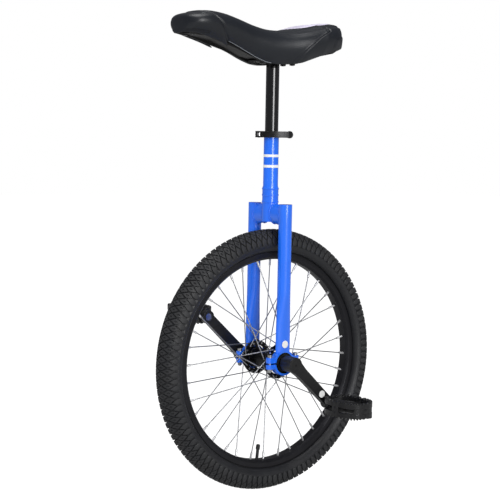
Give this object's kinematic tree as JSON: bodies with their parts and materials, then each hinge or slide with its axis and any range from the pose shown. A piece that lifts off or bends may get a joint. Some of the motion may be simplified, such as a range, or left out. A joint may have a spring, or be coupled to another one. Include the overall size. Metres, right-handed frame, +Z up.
{
  "type": "unicycle",
  "caption": "Unicycle: spoked wheel on a bearing-mounted axle with fixed cranks and platform pedals, twin-leg fork, quick-release clamp, sliding seat post and curved saddle.",
  "frame": {"origin": "the point under the wheel's centre where the tyre stands on the ground, which is the bottom centre of the whole box", "axes": "+X forward (the way the rider faces), +Y to the rider's left along the axle, +Z up along the seat post"},
  "size_m": [0.5058, 0.382, 0.9082],
  "materials": {
    "tyre_rubber": "matte",
    "inner_rubber": "matte",
    "black_rim": "satin black anodised",
    "valve_rubber": "matte",
    "black_plastic": "matte",
    "spoke_steel": "drawn steel",
    "nipple_brass": "nickel plated",
    "black_alloy": "gloss black",
    "bearing_steel": "ground",
    "crank_black": "satin black",
    "bolt_steel": "zinc plated",
    "white_sticker": "plain white",
    "blue_paint": "gloss",
    "clamp_black": "black anodised",
    "post_black": "gloss black",
    "foam": "soft foam",
    "saddle_leather": "fine grained synthetic leather",
    "base_plastic": "matte",
    "bumper_plastic": "satin moulded",
    "pedal_plastic": "satin moulded",
    "bush_nylon": "nylon"
  },
  "bodies": {
    "frame": {"seat_tube": "blue_paint", "fork_leg_left": "blue_paint", "fork_leg_right": "blue_paint", "leg_cap_left": "blue_paint", "leg_cap_right": "blue_paint", "crown_stub_left": "blue_paint", "crown_stub_right": "blue_paint", "bearing_holder_left": "blue_paint", "bearing_holder_right": "blue_paint", "bearing_cap_left": "blue_paint", "bearing_cap_right": "blue_paint", "cap_bolts": "bolt_steel", "cap_nuts": "bolt_steel", "bearing_outer_races": "bearing_steel", "bearing_shields": "black_plastic", "leg_stickers": "white_sticker", "clamp_collar": "clamp_black", "clamp_skewer": "bolt_steel", "clamp_nut": "bolt_steel", "cam_seat": "black_plastic", "lever_pin": "bolt_steel"},
    "wheel": {"tyre": "tyre_rubber", "inner_tube": "inner_rubber", "rim": "black_rim", "rim_tape": "inner_rubber", "valve_stem": "valve_rubber", "valve_cap": "black_plastic", "spokes": "spoke_steel", "spoke_nipples": "nipple_brass", "hub_shell": "black_alloy", "axle": "bearing_steel", "bearing_inner_races": "bearing_steel", "bearing_balls": "bearing_steel", "crank_left": "crank_black", "crank_right": "crank_black", "crank_bolts": "bolt_steel", "dust_caps": "black_plastic", "crank_stickers": "white_sticker", "pedal_spindle_left": "bearing_steel", "pedal_spindle_right": "bearing_steel", "pedal_locknuts": "bolt_steel"},
    "seat": {"seat_post": "post_black", "post_plate": "post_black", "saddle_bolts": "bolt_steel", "saddle_washers": "bolt_steel", "saddle_nuts": "bolt_steel", "saddle_foam": "foam", "saddle_cover": "saddle_leather", "saddle_base": "base_plastic", "front_bumper": "bumper_plastic", "rear_bumper": "bumper_plastic", "bumper_screws": "bolt_steel"},
    "clamp_lever": {"clamp_lever": "clamp_black"},
    "pedal_left": {"pedal_body_left": "pedal_plastic", "pedal_bushings_left": "bush_nylon", "pedal_end_cap_left": "black_plastic"},
    "pedal_right": {"pedal_body_right": "pedal_plastic", "pedal_bushings_right": "bush_nylon", "pedal_end_cap_right": "black_plastic"}
  },
  "joints": [
    {"name": "wheel_spin", "type": "hinge", "parent": "frame", "child": "wheel", "pos_m": [0, 0, 0.253], "axis": [0, 1, 0], "continuous": true},
    {"name": "pedal_left_spin", "type": "hinge", "parent": "wheel", "child": "pedal_left", "pos_m": [-0.08612, 0.142, 0.17381], "axis": [0, 1, 0], "continuous": true},
    {"name": "pedal_right_spin", "type": "hinge", "parent": "wheel", "child": "pedal_right", "pos_m": [0.08612, -0.142, 0.33219], "axis": [0, 1, 0], "continuous": true},
    {"name": "seat_height", "type": "slide", "parent": "frame", "child": "seat", "axis": [0, 0, 1], "range_m": [-0.075, 0.026]},
    {"name": "lever_swing", "type": "hinge", "parent": "frame", "child": "clamp_lever", "pos_m": [0.03, -0.00038, 0.6865], "axis": [0, 0, -1], "range_deg": [0, 150]}
  ]
}
